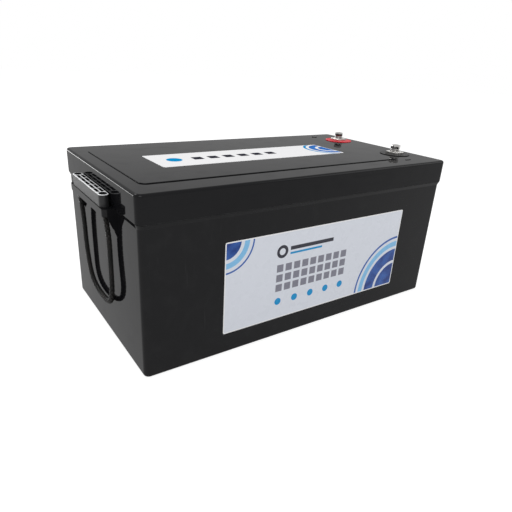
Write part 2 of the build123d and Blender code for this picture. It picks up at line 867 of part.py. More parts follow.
def harness_route():
    """Points of the sense harness, from its plug to the negative bar."""
    x = board_face_x + plug_depth / 2
    y = plug_y - 4
    over = bar_top + 9
    bar_edge = cell_post_y - bar_width / 2
    end_x = cell_x(1)
    return [(x, y, board_top - plug_drop),
            (x, y - 1, over - 17),
            (x - 6, y - 4, over + 3),
            (x - 28, y - 8, over + 8),
            (x - 75, 31, over + 4),
            (x - 140, 35, over),
            (x - 205, 29, over + 1),
            (x - 255, 33, over - 1),
            (end_x + 32, 30, over),
            (end_x + 8, bar_edge - 13, over - 4),
            (end_x, bar_edge - 1.3, bar_top - bar_thickness / 2)]


def sense_harness():
    """Sleeved bundle of the sense wires."""
    return tube(harness_route(), harness_diameter, "sense harness")


def load_bar():
    """Angle strip from the board tab up to the foot of the negative post."""
    half = bar_width / 2
    riser = block(tab_face_x, tab_face_x + bar_thickness, load_tab_y - half, load_tab_y + half,
                  tab_hole_z - half, post_foot)
    shelf = block(tab_face_x, terminal_x + half, load_tab_y - half, load_tab_y + half,
                  post_foot - bar_thickness, post_foot)
    strip = riser + shelf
    strip -= post(terminal_x, -terminal_y, lug_screw_seat - cut_over, post_foot + cut_over,
                  lug_screw_diameter + 2 * bar_hole_clearance)
    return strip - level_pin(tab_face_x - cut_over, tab_face_x + bar_thickness + cut_over, load_tab_y,
                             tab_hole_z, lug_screw_diameter + 2 * bar_hole_clearance)


# All pieces ---------------------------------------------------------------------

os.makedirs("parts", exist_ok=True)

save(case_tub(), "case_tub")
save(lid(), "lid")
save(lid_seal(), "lid_seal")
save(front_label(), "front_label")
save(lid_label(), "lid_label")

left_grip = grip()
left_knots = knots()
left_rope = rope()
save(left_grip, "left_grip")
save(left_knots, "left_knots")
save(left_rope, "left_rope")
save(left_grip.mirror(Plane.YZ), "right_grip")
save(Compound(children=[knot.mirror(Plane.YZ) for knot in left_knots.solids()]), "right_knots")
save(left_rope.mirror(Plane.YZ), "right_rope")

for name, side in (("positive", 1), ("negative", -1)):
    save(terminal(side), name + "_terminal")
    save(polarity_disc(side), name + "_disc")
    save(flat_washer(side), name + "_flat_washer")
    save(spring_washer(side), name + "_spring_washer")
    save(terminal_bolt(side), name + "_bolt")
save(terminal_seals(), "terminal_seals")
save(terminal_nuts(), "terminal_nuts")
save(lug_screws(), "lug_screws")

save(floor_pad(), "floor_pad")
for index in range(cell_count):
    save(cell(index), "cell_" + str(index + 1))
save(cell_sheets(), "cell_sheets")
save(end_plate(stack_start_x, False), "left_end_plate")
save(end_plate(cells_end_x, True), "right_end_plate")
save(band(band_heights[0]), "lower_band")
save(band(band_heights[1]), "upper_band")
save(side_foam(), "side_foam")
save(end_foam(), "end_foam")
save(series_bars(), "series_bars")
save(bar(0, 1, 1), "negative_bar")
save(positive_bar(), "positive_bar")
save(cell_nuts(), "cell_nuts")

save(board(), "board")
save(standoffs(), "standoffs")
save(transistors(), "transistors")
save(heat_sink(), "heat_sink")
save(board_screws(), "board_screws")
save(board_tabs(), "board_tabs")
save(tab_bolts(), "tab_bolts")
save(sense_plug(), "sense_plug")
save(radio_module(), "radio_module")
save(load_bar(), "load_bar")
save(cable_lugs(), "cable_lugs")
save(pack_cable(), "pack_cable")
save(sense_harness(), "sense_harness")
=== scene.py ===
import math

import bmesh
import bpy
from mathutils import Matrix, Vector


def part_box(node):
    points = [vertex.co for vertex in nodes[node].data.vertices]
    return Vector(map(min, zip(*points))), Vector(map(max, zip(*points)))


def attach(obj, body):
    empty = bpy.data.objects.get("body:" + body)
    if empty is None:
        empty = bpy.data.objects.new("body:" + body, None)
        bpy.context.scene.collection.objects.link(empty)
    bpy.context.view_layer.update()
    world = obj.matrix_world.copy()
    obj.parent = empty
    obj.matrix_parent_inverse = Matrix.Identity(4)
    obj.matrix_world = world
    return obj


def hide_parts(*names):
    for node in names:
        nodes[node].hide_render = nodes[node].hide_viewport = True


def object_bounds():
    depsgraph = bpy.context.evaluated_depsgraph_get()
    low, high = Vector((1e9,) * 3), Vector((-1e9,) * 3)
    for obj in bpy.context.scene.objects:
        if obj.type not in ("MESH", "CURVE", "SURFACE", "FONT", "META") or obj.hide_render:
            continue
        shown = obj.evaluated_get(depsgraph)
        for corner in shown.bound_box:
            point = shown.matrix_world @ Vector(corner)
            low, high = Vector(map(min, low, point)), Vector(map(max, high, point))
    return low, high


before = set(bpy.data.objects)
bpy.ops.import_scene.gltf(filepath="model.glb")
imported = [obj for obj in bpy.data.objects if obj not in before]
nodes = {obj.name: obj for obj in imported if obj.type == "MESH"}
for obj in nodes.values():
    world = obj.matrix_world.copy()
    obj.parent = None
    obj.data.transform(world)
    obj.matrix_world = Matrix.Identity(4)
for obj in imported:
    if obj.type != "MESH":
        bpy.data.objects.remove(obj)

cad_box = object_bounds()


# Camera -------------------------------------------------------------------------
# It stands to the left of the labelled side, a little above the lid, and looks
# along the case towards the terminals.

lens_length = 32.706
sensor_width = 36.0
camera_place = Matrix((
    (0.82531, 0.17803, -0.53589, -0.40298),
    (-0.56207, 0.35026, -0.74926, -0.55719),
    (0.05431, 0.91958, 0.38914, 0.34753),
    (0.0, 0.0, 0.0, 1.0)))

camera_data = bpy.data.cameras.new("camera")
camera_data.lens = lens_length
camera_data.sensor_width = sensor_width
camera_data.clip_start = 0.01
camera = bpy.data.objects.new("camera", camera_data)
bpy.context.scene.collection.objects.link(camera)
camera.matrix_world = camera_place
bpy.context.scene.camera = camera


# Ropes --------------------------------------------------------------------------
# Black braided polypropylene, 7 mm thick, one piece for each handle. It runs from a
# knot in the grip down through the shelf, round in a U and up to the other knot.

class Value:
    """A socket that can be used in arithmetic; each operation adds its node."""

    def __init__(self, tree, socket):
        self.tree = tree
        self.socket = socket

    def node(self, kind, settings=None, inputs=None):
        """Adds a node: its settings first, then the values or links of its sockets."""
        made = self.tree.nodes.new(kind)
        for key, value in (settings or {}).items():
            setattr(made, key, value)
        for key, value in (inputs or {}).items():
            if isinstance(value, Value):
                self.tree.links.new(value.socket, made.inputs[key])
            else:
                made.inputs[key].default_value = value
        return made

    def of(self, made, output=0):
        """The value that one output of a node gives."""
        return Value(self.tree, made.outputs[output])

    def math(self, operation, *terms):
        """A Math node on these terms."""
        return self.of(self.node("ShaderNodeMath", {"operation": operation}, dict(enumerate(terms))))

    def __add__(self, other):
        return self.math("ADD", self, other)

    def __radd__(self, other):
        return self.math("ADD", other, self)

    def __sub__(self, other):
        return self.math("SUBTRACT", self, other)

    def __rsub__(self, other):
        return self.math("SUBTRACT", other, self)

    def __mul__(self, other):
        return self.math("MULTIPLY", self, other)

    def __rmul__(self, other):
        return self.math("MULTIPLY", other, self)

    def __abs__(self):
        return self.math("ABSOLUTE", self)

    def sine(self):
        return self.math("SINE", self)

    def root(self):
        return self.math("SQRT", self)

    def fraction(self):
        return self.math("FRACT", self)

    def most(self, other):
        return self.math("MAXIMUM", self, other)

    def fade(self, low, high, start=0.0, end=1.0):
        """Goes smoothly from start to end as the value goes from low to high."""
        return self.of(self.node("ShaderNodeMapRange", {"interpolation_type": "SMOOTHSTEP"}, {
            "Value": self, "From Min": low, "From Max": high, "To Min": start, "To Max": end}))

    def tint(self, first, second):
        """A colour that goes from first to second as this value goes from 0 to 1."""
        return self.of(self.node("ShaderNodeMix", {"data_type": "RGBA"},
                                 {0: self, 6: first, 7: second}), 2)


def shade(red, green, blue):
    """A colour with full cover."""
    return (red, green, blue, 1.0)


class Finish:
    """One surface finish: a shader, and the places that its patterns start from."""

    def __init__(self, name, colour, roughness, **fixed):
        self.material = bpy.data.materials.new(name)
        self.material.use_nodes = True
        self.tree = self.material.node_tree
        self.shader = self.tree.nodes["Principled BSDF"]
        self.shader.inputs["Base Color"].default_value = colour
        self.shader.inputs["Roughness"].default_value = roughness
        for key, value in fixed.items():
            self.shader.inputs[key.replace("_", " ")].default_value = value
        self.place = Value(self.tree, self.tree.nodes.new("ShaderNodeTexCoord").outputs["Object"])
        split = self.place.node("ShaderNodeSeparateXYZ", None, {0: self.place})
        self.x, self.y, self.z = (self.place.of(split, axis) for axis in range(3))

    def cloud(self, scale, detail=2.0, stretch=(1.0, 1.0, 1.0)):
        """Cloudy pattern from 0 to 1, with scale lumps to the metre."""
        where = self.place.of(self.place.node("ShaderNodeMapping", None,
                                              {"Vector": self.place, "Scale": stretch}))
        return where.of(where.node("ShaderNodeTexNoise", None,
                                   {"Vector": where, "Scale": scale, "Detail": detail}))

    def cells(self, scale, stretch=(1.0, 1.0, 1.0)):
        """Distance to the nearest of many scattered points, scale of them to the metre."""
        where = self.place.of(self.place.node("ShaderNodeMapping", None,
                                              {"Vector": self.place, "Scale": stretch}))
        return where.of(where.node("ShaderNodeTexVoronoi", None, {"Vector": where, "Scale": scale}))

    def upward(self):
        """1 where the surface faces up, 0 where it is upright."""
        split = self.place.node("ShaderNodeSeparateXYZ", None, {
            0: self.place.of(self.place.node("ShaderNodeNewGeometry"), 1)})
        return self.place.of(split, 2).most(0.0)

    def set(self, **driven):
        """Links a pattern to a socket of the shader."""
        for key, value in driven.items():
            self.tree.links.new(value.socket, self.shader.inputs[key.replace("_", " ")])

    def bump(self, height, distance, strength=1.0):
        """Raises the surface by a pattern, distance in metres."""
        self.set(Normal=height.of(height.node("ShaderNodeBump", None, {
            "Height": height, "Distance": distance, "Strength": strength})))

    def wear(self, *pieces):
        """Puts this finish on CAD nodes, by name, or on new pieces."""
        for piece in pieces:
            target = nodes[piece] if isinstance(piece, str) else piece
            target.data.materials.clear()
            target.data.materials.append(self.material)


rope_diameter = 0.007
rope_route = (
    (0.25425, 0.0500, 0.1920),
    (0.25370, 0.0503, 0.1750),
    (0.25140, 0.0517, 0.1420),
    (0.25130, 0.0520, 0.1040),
    (0.24960, 0.0445, 0.0530),
    (0.25010, -0.0170, 0.0495),
    (0.25300, -0.0540, 0.0665),
    (0.25150, -0.0510, 0.1215),
    (0.25150, -0.0516, 0.1480),
    (0.25370, -0.0503, 0.1760),
    (0.25425, -0.0500, 0.1920))
strands_each_way = 4
strand_lay = 0.026
strand_width = 0.0033
strand_height = 0.0022
strand_lift = 0.0009
strand_sides = 8
core_sides = 12
core_step = 4

braided_rope = Finish("braided_rope", shade(0.007, 0.0065, 0.006), 0.5, Specular_IOR_Level=0.2)
fibre = braided_rope.cloud(2600.0, 2.0, (1.0, 1.0, 0.25))
faded = braided_rope.cloud(70.0, 3.0).fade(0.35, 0.75)
braided_rope.set(Base_Color=faded.tint(shade(0.005, 0.005, 0.005), shade(0.016, 0.014, 0.013)),
                 Roughness=fibre.fade(0.2, 0.8, 0.34, 0.62))
braided_rope.bump(fibre, 0.0002, 0.5)


def rope_line(side):
    """Points along the rope's own smooth line."""
    data = bpy.data.curves.new("rope_line", "CURVE")
    data.dimensions = "3D"
    data.resolution_u = 64
    spline = data.splines.new("NURBS")
    spline.points.add(len(rope_route) - 1)
    for point, (x, y, z) in zip(spline.points, rope_route):
        point.co = (side * x, y, z, 1.0)
    spline.order_u = 3
    spline.use_endpoint_u = True
    line = bpy.data.objects.new("rope_line", data)
    bpy.context.scene.collection.objects.link(line)
    bpy.context.view_layer.update()
    drawn = bpy.data.meshes.new_from_object(line)
    points = [vertex.co.copy() for vertex in drawn.vertices]
    bpy.data.meshes.remove(drawn)
    bpy.data.objects.remove(line)
    return points


def turning_frames(points):
    """At each point, how far along it is and two directions across the line."""
    walked = 0.0
    across = Vector((1.0, 0.0, 0.0))
    frames = []
    for index, point in enumerate(points):
        before = points[max(0, index - 1)]
        after = points[min(len(points) - 1, index + 1)]
        walked += (point - before).length
        along = (after - before).normalized()
        across = (across - along * across.dot(along)).normalized()
        frames.append((walked, along, across, along.cross(across)))
    return frames


def skin(mesh, rings):
    """Joins rings of points into a closed tube."""
    for low, high in zip(rings, rings[1:]):
        for index in range(len(low)):
            after = (index + 1) % len(low)
            mesh.faces.new((low[index], low[after], high[after], high[index]))
    mesh.faces.new(list(reversed(rings[0])))
    mesh.faces.new(rings[-1])


def smooth_piece(name, mesh):
    """Makes a smooth object of a built mesh."""
    bmesh.ops.recalc_face_normals(mesh, faces=mesh.faces)
    for face in mesh.faces:
        face.smooth = True
    data = bpy.data.meshes.new(name)
    mesh.to_mesh(data)
    mesh.free()
    piece = bpy.data.objects.new(name, data)
    bpy.context.scene.collection.objects.link(piece)
    return piece


def lay_strand(mesh, points, frames, way, start):
    """One strand: it winds one way, over one strand of the other way and under the next."""
    middle = rope_diameter / 2 - strand_lift - strand_height / 2
    rings = []
    for centre, (walked, along, u, v) in zip(points, frames):
        turn = way * 2 * math.pi * walked / strand_lay + start
        weave = way * math.cos(strands_each_way * 2 * math.pi * walked / strand_lay)
        out = u * math.cos(turn) + v * math.sin(turn)
        around = out.cross(along)
        heart = centre + out * (middle + strand_lift * weave)
        ring = []
        for side in range(strand_sides):
            angle = 2 * math.pi * side / strand_sides
            ring.append(mesh.verts.new(heart + out * (strand_height / 2 * math.sin(angle))
                                       + around * (strand_width / 2 * math.cos(angle))))
        rings.append(ring)
    skin(mesh, rings)


def braid(name, points):
    """The rope: strands that wind both ways round a core."""
    frames = turning_frames(points)
    mesh = bmesh.new()
    for way in (1, -1):
        for strand in range(strands_each_way):
            lay_strand(mesh, points, frames, way, 2 * math.pi * strand / strands_each_way)
    core = rope_diameter / 2 - strand_lift - strand_height
    rings = []
    for centre, (walked, along, u, v) in list(zip(points, frames))[::core_step]:
        ring = []
        for side in range(core_sides):
            angle = 2 * math.pi * side / core_sides
            ring.append(mesh.verts.new(centre + (u * math.cos(angle) + v * math.sin(angle)) * core))
        rings.append(ring)
    skin(mesh, rings)
    return smooth_piece(name, mesh), frames[-1][0]


knot_half_length = 0.0057
knot_cord = 0.0015
knot_ridge = 0.13
knot_ridges = 4
knot_twist = 900.0
knot_gap = 0.12
knot_steps = 150
knot_sides = 20


def tie_knot(mesh, centre, reach):
    """One stopper knot: a cord in a trefoil, twice round and three times through, pulled
    tight, with its two cut ends inside."""
    spread = reach - Vector((knot_cord, knot_cord, knot_cord))
    points = []
    for step in range(knot_steps + 1):
        turn = knot_gap + (2 * math.pi - 2 * knot_gap) * step / knot_steps
        out = (2 + math.cos(3 * turn)) / 3
        points.append(centre + Vector((out * math.cos(2 * turn) * spread.x,
                                       out * math.sin(2 * turn) * spread.y,
                                       math.sin(3 * turn) * spread.z)))
    rings = []
    for point, (walked, along, u, v) in zip(points, turning_frames(points)):
        ring = []
        for side in range(knot_sides):
            angle = 2 * math.pi * side / knot_sides
            bulge = math.cos(knot_ridges * angle + knot_twist * walked)
            radius = knot_cord * (1 - knot_ridge + knot_ridge * bulge)
            ring.append(mesh.verts.new(point + (u * math.cos(angle) + v * math.sin(angle)) * radius))
        rings.append(ring)
    skin(mesh, rings)


def tie_both(name, node):
    """The two knots of one handle, each in the place of its CAD knot."""
    low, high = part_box(node)
    middle = (low + high) / 2
    reach = Vector(((high.x - low.x) / 2, knot_half_length, (high.z - low.z) / 2))
    mesh = bmesh.new()
    for end in (-1, 1):
        tie_knot(mesh, Vector((middle.x, end * (high.y - knot_half_length), middle.z)), reach)
    return smooth_piece(name, mesh)


for handle, side in (("left", -1), ("right", 1)):
    route = rope_line(side)
    rope, rope_length = braid(handle + "_rope_braid", route)
    tied = tie_both(handle + "_knots_tied", handle + "_knots")
    braided_rope.wear(rope, tied)
    for piece, node in ((rope, handle + "_rope"), (tied, handle + "_knots")):
        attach(piece, handle + "_handle")
        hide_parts(node)


# Case tub -----------------------------------------------------------------------
# Injection-moulded ABS in high gloss black, with the handle shelves moulded on. The
# polished mould leaves a mirror surface; only handling scuffs and dust dull it.

mould_gloss = {"Specular_IOR_Level": 0.0, "Coat_IOR": 1.42, "Coat_Roughness": 0.035}
abs_black = shade(0.006, 0.006, 0.007)
abs_scuffed = shade(0.018, 0.018, 0.019)
gloss_cover = 0.38

gloss_black = Finish("gloss_black_abs", abs_black, 0.6, **mould_gloss)
haze = gloss_black.cloud(45.0, 4.0).fade(0.45, 0.8)
scuffs = gloss_black.cloud(240.0, 3.0, (1.0, 1.0, 0.06)).fade(0.66, 0.78)
gloss_black.set(Base_Color=(haze * 0.4 + scuffs).tint(abs_black, abs_scuffed),
                Coat_Weight=gloss_cover - haze * 0.03 - scuffs * 0.06)
gloss_black.bump(gloss_black.cloud(9.0, 1.0), 0.0006, 0.25)
gloss_black.wear("case_tub")


# Lid seal -----------------------------------------------------------------------
# Black silicone cord squeezed flat between the rim of the tub and the lid skirt.

seal_rubber = Finish("seal_rubber", shade(0.012, 0.012, 0.013), 0.7)
seal_rubber.bump(seal_rubber.cloud(900.0), 0.00005, 0.4)
seal_rubber.wear("lid_seal", "terminal_seals")


# Lid ----------------------------------------------------------------------------
# Same ABS as the tub, moulded with a raised panel and solvent-welded to the neck.
# Its flat top gathers fine dust and light polishing marks.

lid_cover = 0.34
dust_grey = shade(0.20, 0.20, 0.20)

lid_black = Finish("gloss_black_lid", abs_black, 0.6, **mould_gloss)
lying = lid_black.upward().fade(0.8, 1.0)
dust = (1.0 - lid_black.cells(420.0)).fade(0.90, 0.97) * lid_black.cloud(30.0).fade(0.45, 0.7) * lying
polish = lid_black.cloud(160.0, 3.0, (0.05, 1.0, 1.0)).fade(0.62, 0.78)
lid_black.set(Base_Color=(dust * 0.8).tint(abs_black, dust_grey),
              Coat_Weight=lid_cover - lid_black.cloud(40.0, 4.0).fade(0.45, 0.8) * 0.03 - polish * 0.04)
lid_black.bump(lid_black.cloud(9.0, 1.0), 0.0006, 0.25)
lid_black.wear("lid")


# Grips --------------------------------------------------------------------------
# Black nylon mouldings with a fine spark-eroded grain. The up-facing top rims of the pockets
# and the top edge carry a painted near-white highlight, partly also rub wear.

nylon_black = shade(0.018, 0.018, 0.019)
# The near-white is a painted highlight on the grip rims, partly also rub wear.
nylon_highlight_and_rub = shade(0.92, 0.93, 0.95)
highlight_foot = 0.0012
highlight_head = 0.0005

grip_nylon = Finish("grip_nylon", nylon_black, 0.5, Specular_IOR_Level=0.3)
grip_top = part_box("left_grip")[1].z
rim = grip_nylon.z.fade(grip_top - highlight_foot, grip_top - highlight_head) * grip_nylon.upward().fade(0.2, 0.7)
grip_grain = grip_nylon.cloud(1500.0, 2.0)
# Near-white on the up-facing top rims: a painted highlight, partly rub wear.
rim_highlight_and_rub = rim * grip_nylon.cloud(190.0, 3.0).fade(0.25, 0.55, 0.72, 1.0)
grip_nylon.set(Base_Color=rim_highlight_and_rub.tint(nylon_black, nylon_highlight_and_rub),
               Roughness=grip_grain.fade(0.2, 0.8, 0.36, 0.56))
grip_nylon.bump(grip_grain, 0.00008, 0.5)
grip_nylon.wear("left_grip", "right_grip")


# Polarity discs -----------------------------------------------------------------
# Thin hard plastic washers under the contact blocks: red for positive, black for
# negative.

red_disc = Finish("red_disc", shade(0.70, 0.008, 0.025), 0.4, Specular_IOR_Level=0.08)
red_disc.set(Roughness=red_disc.cloud(300.0, 3.0).fade(0.3, 0.8, 0.35, 0.55))
red_disc.wear("positive_disc")
black_disc = Finish("black_disc", shade(0.008, 0.008, 0.009), 0.6, **mould_gloss)
black_disc.set(Coat_Weight=black_disc.cloud(300.0, 3.0).fade(0.3, 0.8, 0.24, 0.32))
black_disc.wear("negative_disc")


# Terminals ----------------------------------------------------------------------
# Machined brass blocks, bright tin plated, each with its post through the lid.

tin_bright = shade(0.62, 0.61, 0.59)
tin_dull = shade(0.50, 0.49, 0.47)

tin_plate = Finish("tin_plate", tin_bright, 0.14, Metallic=1.0)
tin_cloud = tin_plate.cloud(380.0, 4.0)
tin_plate.set(Base_Color=tin_cloud.fade(0.3, 0.7).tint(tin_dull, tin_bright),
              Roughness=tin_cloud.fade(0.3, 0.75, 0.09, 0.22))
tin_plate.bump(tin_plate.cloud(2400.0, 1.0, (0.08, 1.0, 1.0)), 0.00004, 0.4)
tin_plate.wear("positive_terminal", "negative_terminal", "cable_lugs")


# Terminal bolts and washers -----------------------------------------------------
# M8 stainless hexagon bolts with a rolled thread and a domed, chamfered head. Each holds
# down a split spring washer and a flat washer with rounded rims.

thread_pitch = 0.00125
thread_outer = 0.00395
thread_root = 0.00335
thread_turns = 12
ridge_foot = 0.44 * thread_pitch
ridge_crest = 0.07 * thread_pitch
ridge_sunk = 0.0001
shank_sunk = 0.0002
head_flats = 0.013
head_dome = 0.0182
head_spare = 0.001
head_bevel = 0.0003
tip_bevel = 0.0007
tip_reach = 0.0001
spring_inner = 0.0043
spring_split = math.radians(14.0)
spring_rise = 0.0004
spring_bevel = 0.0003
washer_inner = 0.0042
washer_bevel = 0.00035
turn_steps = 48
bolt_smoothing = 32.0
washer_smoothing = 40.0
bolt_turned = 11.0
split_turned = 200.0

bolt_steel = Finish("bolt_steel", shade(0.58, 0.57, 0.55), 0.16, Metallic=1.0)
bolt_marks = bolt_steel.cloud(1600.0, 2.0, (1.0, 1.0, 0.3))
bolt_steel.set(Base_Color=bolt_marks.fade(0.3, 0.7).tint(shade(0.33, 0.32, 0.31), shade(0.44, 0.43, 0.42)),
               Roughness=bolt_marks.fade(0.3, 0.75, 0.08, 0.22))
bolt_steel.bump(bolt_marks, 0.00003, 0.4)


def settle(piece, name, smooth_angle):
    """Names a new piece, turns its faces outwards and smooths its shallow edges."""
    piece.name = name
    piece.data.name = name
    bpy.ops.object.select_all(action="DESELECT")
    piece.select_set(True)
    bpy.context.view_layer.objects.active = piece
    bpy.ops.object.transform_apply(location=True, rotation=True, scale=True)
    bpy.ops.object.mode_set(mode="EDIT")
    bpy.ops.mesh.select_all(action="SELECT")
    bpy.ops.mesh.remove_doubles(threshold=0.00001)
    bpy.ops.mesh.normals_make_consistent(inside=False)
    bpy.ops.object.mode_set(mode="OBJECT")
    bpy.ops.object.shade_smooth_by_angle(angle=math.radians(smooth_angle))


def swept(section, turn, rise):
    """Carries a closed outline of (radius, height) points round the z axis, and caps it."""
    bpy.ops.mesh.primitive_plane_add(size=0.001)
    piece = bpy.context.object
    bpy.ops.object.mode_set(mode="EDIT")
    bpy.ops.mesh.select_all(action="SELECT")
    bpy.ops.mesh.merge(type="CENTER")
    bpy.ops.transform.translate(value=(section[0][0], 0.0, section[0][1]))
    for (radius, height), (next_radius, next_height) in zip(section, section[1:] + section[:1]):
        bpy.ops.mesh.extrude_region_move(TRANSFORM_OT_translate={
            "value": (next_radius - radius, 0.0, next_height - height)})
    bpy.ops.mesh.select_all(action="SELECT")
    bpy.ops.mesh.remove_doubles(threshold=0.000002)
    bpy.ops.object.mode_set(mode="OBJECT")
    whole = abs(turn - 2 * math.pi) < 0.001 and rise == 0.0
    screw = piece.modifiers.new("sweep", "SCREW")
    screw.angle = turn
    screw.screw_offset = rise
    screw.steps = max(1, round(turn_steps * turn / (2 * math.pi)))
    screw.render_steps = screw.steps
    screw.use_merge_vertices = whole
    screw.merge_threshold = 0.000001
    bpy.ops.object.modifier_apply(modifier="sweep")
    if not whole:
        bpy.ops.object.mode_set(mode="EDIT")
        bpy.ops.mesh.select_all(action="SELECT")
        bpy.ops.mesh.fill_holes(sides=0)
        bpy.ops.object.mode_set(mode="OBJECT")
    return piece


def softened(inner, outer, foot, top, bevel):
    """Outline of a flat ring with rounded rims."""
    cut = bevel * 0.3
    return [(inner, foot + bevel), (inner + cut, foot + cut), (inner + bevel, foot),
            (outer - bevel, foot), (outer - cut, foot + cut), (outer, foot + bevel),
            (outer, top - bevel), (outer - cut, top - cut), (outer - bevel, top),
            (inner + bevel, top), (inner + cut, top - cut), (inner, top - bevel)]


def at_height(low, high):
    """Selects the vertices of the piece being edited that lie between two heights."""
    mesh = bmesh.from_edit_mesh(bpy.context.object.data)
    for vertex in mesh.verts:
        vertex.select_set(low < vertex.co.z < high)
    mesh.select_flush(True)
    bmesh.update_edit_mesh(bpy.context.object.data)


def bolt_head(foot, top):
    """Hexagonal head, rounded off by a large ball and with its edges softened."""
    bpy.ops.mesh.primitive_uv_sphere_add(segments=96, ring_count=64, radius=head_dome,
                                         location=(0.0, 0.0, top - head_dome))
    ball = bpy.context.object
    bpy.ops.mesh.primitive_cylinder_add(vertices=6, radius=head_flats / math.sqrt(3.0),
                                        depth=top - foot + head_spare,
                                        location=(0.0, 0.0, (top + foot + head_spare) / 2))
    head = bpy.context.object
    cut = head.modifiers.new("dome", "BOOLEAN")
    cut.operation = "INTERSECT"
    cut.object = ball
    bpy.ops.object.modifier_apply(modifier="dome")
    bpy.data.objects.remove(ball)
    soften = head.modifiers.new("edges", "BEVEL")
    soften.width = head_bevel
    soften.segments = 2
    soften.limit_method = "ANGLE"
    soften.angle_limit = math.radians(25.0)
    bpy.ops.object.modifier_apply(modifier="edges")
    return head


def bolt_shank(foot, top):
    """Root of the thread, with a chamfered tip."""
    bpy.ops.mesh.primitive_cylinder_add(vertices=turn_steps, radius=thread_root, depth=top - foot,
                                        location=(0.0, 0.0, (top + foot) / 2))
    shank = bpy.context.object
    bpy.ops.object.mode_set(mode="EDIT")
    at_height(foot - top, (foot - top) / 2 + tip_reach)
    bpy.ops.mesh.bevel(offset=tip_bevel, segments=2)
    bpy.ops.object.mode_set(mode="OBJECT")
    return shank


bolt_low, bolt_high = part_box("positive_bolt")
spring_low, spring_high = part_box("positive_spring_washer")
flat_low, flat_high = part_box("positive_flat_washer")
bolt_middle = (bolt_low + bolt_high) / 2

shank = bolt_shank(bolt_low.z, spring_high.z + shank_sunk)
ridge = swept([(thread_root - ridge_sunk, -ridge_foot), (thread_outer, -ridge_crest),
               (thread_outer, ridge_crest), (thread_root - ridge_sunk, ridge_foot)],
              2 * math.pi * thread_turns, thread_pitch * thread_turns)
ridge.location.z = bolt_low.z + tip_bevel + thread_pitch / 2
whole_bolt = bolt_head(spring_high.z, bolt_high.z)
for piece in (shank, ridge, whole_bolt):
    piece.select_set(True)
bpy.context.view_layer.objects.active = whole_bolt
bpy.ops.object.join()
settle(whole_bolt, "bolt_pattern", bolt_smoothing)

spring_outer = (spring_high.x - spring_low.x) / 2
spring_outline = softened(spring_inner, spring_outer, spring_low.z,
                          spring_high.z - spring_rise, spring_bevel)
spring_washer = swept(spring_outline, 2 * math.pi - spring_split, spring_rise)
settle(spring_washer, "spring_pattern", washer_smoothing)
flat_outer = (flat_high.x - flat_low.x) / 2
flat_outline = softened(washer_inner, flat_outer, flat_low.z, flat_high.z, washer_bevel)
flat_washer = swept(flat_outline, 2 * math.pi, 0.0)
settle(flat_washer, "flat_pattern", washer_smoothing)

for pattern, part, body, turned in ((whole_bolt, "_bolt", "_screw", bolt_turned),
                                    (spring_washer, "_spring_washer", "_washers", split_turned),
                                    (flat_washer, "_flat_washer", "_washers", 0.0)):
    for polarity, way in (("positive", 1), ("negative", -1)):
        piece = bpy.data.objects.new(polarity + part + "_turned", pattern.data.copy())
        piece.data.transform(Matrix.Translation((bolt_middle.x, way * bolt_middle.y, 0.0))
                             @ Matrix.Rotation(math.radians(way * turned), 4, "Z"))
        bpy.context.scene.collection.objects.link(piece)
        bolt_steel.wear(piece)
        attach(piece, polarity + body)
        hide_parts(polarity + part)
    bpy.data.objects.remove(pattern)


# Front label --------------------------------------------------------------------
# Laminated vinyl on the long side: pale ground with a white edge, blue rings round two
# corners, and rows of plain grey squares and sky-blue discs, all blank.

print_blur = 0.00025
edge_width = 0.0016
edge_corner = 0.0025
label_white = shade(0.92, 0.92, 0.93)
label_ground = shade(0.76, 0.79, 0.86)
label_sky = shade(0.005, 0.29, 0.62)
label_grey = shade(0.23, 0.23, 0.28)
label_dark = shade(0.030, 0.030, 0.045)
label_navy = shade(0.008, 0.035, 0.20)
label_blue = shade(0.035, 0.12, 0.42)
label_pale = shade(0.25, 0.55, 0.85)


def box_distance(sheet, middle, width, height, corner):
    """Distance outside a rounded rectangle on a sheet; below 0 inside it."""
    beyond_x = (abs(sheet[0] - middle[0]) - (width / 2 - corner)).most(0.0)
    beyond_z = (abs(sheet[1] - middle[1]) - (height / 2 - corner)).most(0.0)
    return (beyond_x * beyond_x + beyond_z * beyond_z).root() - corner


def block(sheet, middle, width, height):
    """A filled rectangle with square corners."""
    return box_distance(sheet, middle, width, height, 0.0).fade(0.0, print_blur, 1.0, 0.0)


def ring(sheet, middle, inner, outer):
    """A flat ring; a disc where its inner radius is 0."""
    off_x = sheet[0] - middle[0]
    off_z = sheet[1] - middle[1]
    away = (off_x * off_x + off_z * off_z).root()
    return away.fade(inner - print_blur, inner) * away.fade(outer, outer + print_blur, 1.0, 0.0)


def stripes(along, pitch, share):
    """Even stripes that fill this share of each pitch."""
    off_middle = abs((along * (1.0 / pitch)).fraction() - 0.5)
    return off_middle.fade(share / 2, share / 2 + print_blur / pitch, 1.0, 0.0)


def white_edge(sheet, size_x, size_z, colour):
    """The print inside a white edge."""
    inside = box_distance(sheet, (0.0, 0.0), size_x, size_z, edge_corner)
    return inside.fade(-edge_width, -edge_width + print_blur).tint(colour, label_white)


front_low, front_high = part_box("front_label")
front_middle = (front_low + front_high) / 2
front_size = front_high - front_low
front_print = Finish("front_print", label_ground, 0.28, Specular_IOR_Level=0.25)
front_sheet = (front_print.x - front_middle.x, front_print.z - front_middle.z)

